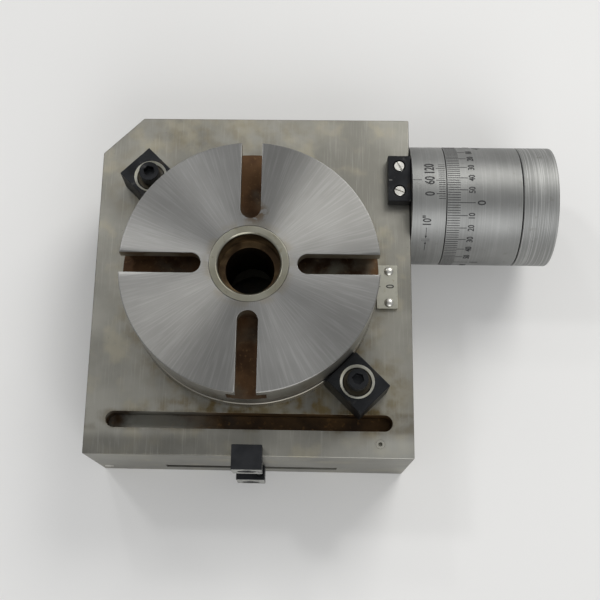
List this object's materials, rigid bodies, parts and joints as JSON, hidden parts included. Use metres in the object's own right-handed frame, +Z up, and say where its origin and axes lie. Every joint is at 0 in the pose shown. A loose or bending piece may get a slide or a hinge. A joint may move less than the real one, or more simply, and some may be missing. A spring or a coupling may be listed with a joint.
{
  "type": "rotary table",
  "caption": "Low square-based rotary table: a worm-driven round table with crossed T-slots and a centre bush, a graduated side dial, flange clamps and a sliding front stop.",
  "frame": {"origin": "on the table's axis, at the base's underside", "axes": "+X towards the dial, +Y towards the back, +Z up along the table's axis"},
  "size_m": [0.2368, 0.1878, 0.099],
  "materials": {
    "ground_steel": "ground, oil-stained",
    "bright_steel": "turned and ground",
    "satin_steel": "satin chrome with black graduations",
    "black_oxide": "blackened",
    "bronze": "machined bearing bronze",
    "nickel_silver": "polished nickel silver"
  },
  "bodies": {
    "base_body": {"base": "ground_steel", "bottom_cap": "ground_steel", "cap_screw_1": "black_oxide", "cap_screw_2": "black_oxide", "cap_screw_3": "black_oxide", "table_bearing": "bronze", "thrust_ring": "bronze", "worm_bush_inner": "bronze", "worm_bush_outer": "bronze", "vernier_sleeve": "satin_steel", "sleeve_screw_1": "black_oxide", "sleeve_screw_2": "black_oxide", "sleeve_screw_3": "black_oxide", "index_bracket": "black_oxide", "bracket_screw_1": "nickel_silver", "bracket_screw_2": "nickel_silver", "zero_plate": "nickel_silver", "plate_rivet_1": "bright_steel", "plate_rivet_2": "bright_steel", "ball_oiler": "nickel_silver", "oil_plug": "ground_steel"},
    "table_body": {"rotary_plate": "bright_steel", "center_bush": "bright_steel", "worm_wheel": "bronze", "wheel_screw_1": "black_oxide", "wheel_screw_2": "black_oxide", "wheel_screw_3": "black_oxide"},
    "worm_body": {"worm_shaft": "bright_steel", "handwheel": "satin_steel", "friction_ring": "bronze", "handwheel_washer": "bright_steel", "handwheel_nut": "black_oxide"},
    "dial_body": {"dial_drum": "satin_steel"},
    "clamp_front_body": {"clamp_front": "black_oxide", "clamp_front_washer": "ground_steel"},
    "clamp_front_screw_body": {"clamp_front_screw": "black_oxide"},
    "clamp_rear_body": {"clamp_rear": "black_oxide", "clamp_rear_washer": "ground_steel"},
    "clamp_rear_screw_body": {"clamp_rear_screw": "black_oxide"},
    "stop_body": {"stop_upper": "black_oxide", "stop_lower": "black_oxide", "stop_stud": "black_oxide", "stop_screw_upper": "black_oxide", "stop_screw_lower": "black_oxide", "stop_nut": "black_oxide"}
  },
  "joints": [
    {"name": "table_turn", "type": "hinge", "parent": "base_body", "child": "table_body", "pos_m": [0, 0, 0.099], "axis": [0, 0, 1], "continuous": true},
    {"name": "worm_turn", "type": "hinge", "parent": "base_body", "child": "worm_body", "pos_m": [0, 0.0525, 0.042], "axis": [1, 0, 0], "continuous": true},
    {"name": "dial_slip", "type": "hinge", "parent": "worm_body", "child": "dial_body", "pos_m": [0.118, 0.0525, 0.042], "axis": [1, 0, 0], "continuous": true},
    {"name": "clamp_front_lift", "type": "slide", "parent": "base_body", "child": "clamp_front_body", "axis": [0, 0, 1], "range_m": [0, 0.0005]},
    {"name": "clamp_front_turn", "type": "hinge", "parent": "clamp_front_body", "child": "clamp_front_screw_body", "pos_m": [0.05233, -0.05233, 0.08], "axis": [0, 0, 1], "range_deg": [0, 180]},
    {"name": "clamp_rear_lift", "type": "slide", "parent": "base_body", "child": "clamp_rear_body", "axis": [0, 0, 1], "range_m": [0, 0.0005]},
    {"name": "clamp_rear_turn", "type": "hinge", "parent": "clamp_rear_body", "child": "clamp_rear_screw_body", "pos_m": [-0.05233, 0.05233, 0.08], "axis": [0, 0, 1], "range_deg": [0, 180]},
    {"name": "stop_slide", "type": "slide", "parent": "base_body", "child": "stop_body", "axis": [1, 0, 0], "range_m": [-0.035, 0.035]}
  ],
  "couplings": [
    {"joint": "worm_turn", "follows": "table_turn", "ratio": 72}
  ]
}
